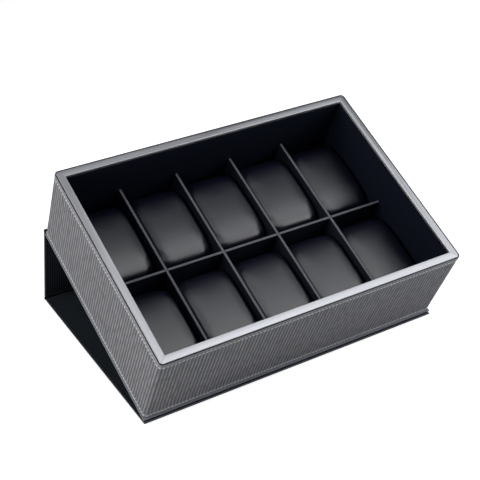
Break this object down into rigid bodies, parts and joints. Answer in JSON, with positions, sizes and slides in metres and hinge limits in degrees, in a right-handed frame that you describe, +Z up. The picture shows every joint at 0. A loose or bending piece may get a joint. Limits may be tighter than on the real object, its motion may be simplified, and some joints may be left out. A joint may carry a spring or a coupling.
{
  "type": "watch box",
  "caption": "Fold-over watch box: a divided leather-covered tray with a metal rim and lift-out cushions, its hinged cover folded back under it as an easel stand.",
  "frame": {"origin": "middle of the footprint, on the table", "axes": "+X to the right along the box, +Y to the rear, +Z up; the box stands open on its folded cover"},
  "size_m": [0.3212, 0.2551, 0.1754],
  "materials": {
    "grey_leather": "satin",
    "black_weave": "satin",
    "cushion_leather": "satin",
    "black_lining": "matte",
    "black_edge": "satin",
    "brushed_frame": "satin",
    "grey_thread": "matte",
    "board": "matte",
    "magnet": "polished"
  },
  "bodies": {
    "tray": {"floor_board": "board", "wall_front": "board", "wall_right": "board", "wall_rear": "board", "wall_left": "board", "outer_wrap": "grey_leather", "stitching_lower": "grey_thread", "stitching_upper": "grey_thread", "edge_strip": "black_edge", "frame_front": "brushed_frame", "frame_right": "brushed_frame", "frame_rear": "brushed_frame", "frame_left": "brushed_frame", "lining_front": "black_lining", "lining_right": "black_lining", "lining_rear": "black_lining", "lining_left": "black_lining", "lining_floor": "black_lining", "divider_long": "black_lining", "divider_cross_1": "black_lining", "divider_cross_2": "black_lining", "divider_cross_3": "black_lining", "divider_cross_4": "black_lining", "base_board": "board", "base_skin": "black_weave", "base_magnet_1": "magnet", "base_magnet_2": "magnet", "base_hinge": "black_weave"},
    "spine": {"spine_board": "board", "spine_skin": "black_weave", "spine_lining": "black_lining", "lid_hinge": "black_weave"},
    "lid": {"lid_board": "board", "lid_skin": "black_weave", "lid_lining": "black_lining", "lid_magnet_1": "magnet", "lid_magnet_2": "magnet"},
    "cushion_front_1": {"cushion_front_1": "cushion_leather"},
    "cushion_front_2": {"cushion_front_2": "cushion_leather"},
    "cushion_front_3": {"cushion_front_3": "cushion_leather"},
    "cushion_front_4": {"cushion_front_4": "cushion_leather"},
    "cushion_front_5": {"cushion_front_5": "cushion_leather"},
    "cushion_rear_1": {"cushion_rear_1": "cushion_leather"},
    "cushion_rear_2": {"cushion_rear_2": "cushion_leather"},
    "cushion_rear_3": {"cushion_rear_3": "cushion_leather"},
    "cushion_rear_4": {"cushion_rear_4": "cushion_leather"},
    "cushion_rear_5": {"cushion_rear_5": "cushion_leather"}
  },
  "joints": [
    {"name": "spine_hinge", "type": "hinge", "parent": "tray", "child": "spine", "pos_m": [0, 0.10921, 0.0928], "axis": [-1, 0, 0], "range_deg": [-192.37, 0], "deforming": ["base_hinge"]},
    {"name": "lid_hinge_fold", "type": "hinge", "parent": "spine", "child": "lid", "pos_m": [0, 0.12691, 0.00125], "axis": [-1, 0, 0], "range_deg": [-190.95, 0], "deforming": ["lid_hinge"]},
    {"name": "cushion_front_1_lift", "type": "slide", "parent": "tray", "child": "cushion_front_1", "axis": [0, -0.3957, 0.9184], "range_m": [0, 0.095]},
    {"name": "cushion_front_2_lift", "type": "slide", "parent": "tray", "child": "cushion_front_2", "axis": [0, -0.3957, 0.9184], "range_m": [0, 0.095]},
    {"name": "cushion_front_3_lift", "type": "slide", "parent": "tray", "child": "cushion_front_3", "axis": [0, -0.3957, 0.9184], "range_m": [0, 0.095]},
    {"name": "cushion_front_4_lift", "type": "slide", "parent": "tray", "child": "cushion_front_4", "axis": [0, -0.3957, 0.9184], "range_m": [0, 0.095]},
    {"name": "cushion_front_5_lift", "type": "slide", "parent": "tray", "child": "cushion_front_5", "axis": [0, -0.3957, 0.9184], "range_m": [0, 0.095]},
    {"name": "cushion_rear_1_lift", "type": "slide", "parent": "tray", "child": "cushion_rear_1", "axis": [0, -0.3957, 0.9184], "range_m": [0, 0.095]},
    {"name": "cushion_rear_2_lift", "type": "slide", "parent": "tray", "child": "cushion_rear_2", "axis": [0, -0.3957, 0.9184], "range_m": [0, 0.095]},
    {"name": "cushion_rear_3_lift", "type": "slide", "parent": "tray", "child": "cushion_rear_3", "axis": [0, -0.3957, 0.9184], "range_m": [0, 0.095]},
    {"name": "cushion_rear_4_lift", "type": "slide", "parent": "tray", "child": "cushion_rear_4", "axis": [0, -0.3957, 0.9184], "range_m": [0, 0.095]},
    {"name": "cushion_rear_5_lift", "type": "slide", "parent": "tray", "child": "cushion_rear_5", "axis": [0, -0.3957, 0.9184], "range_m": [0, 0.095]}
  ]
}
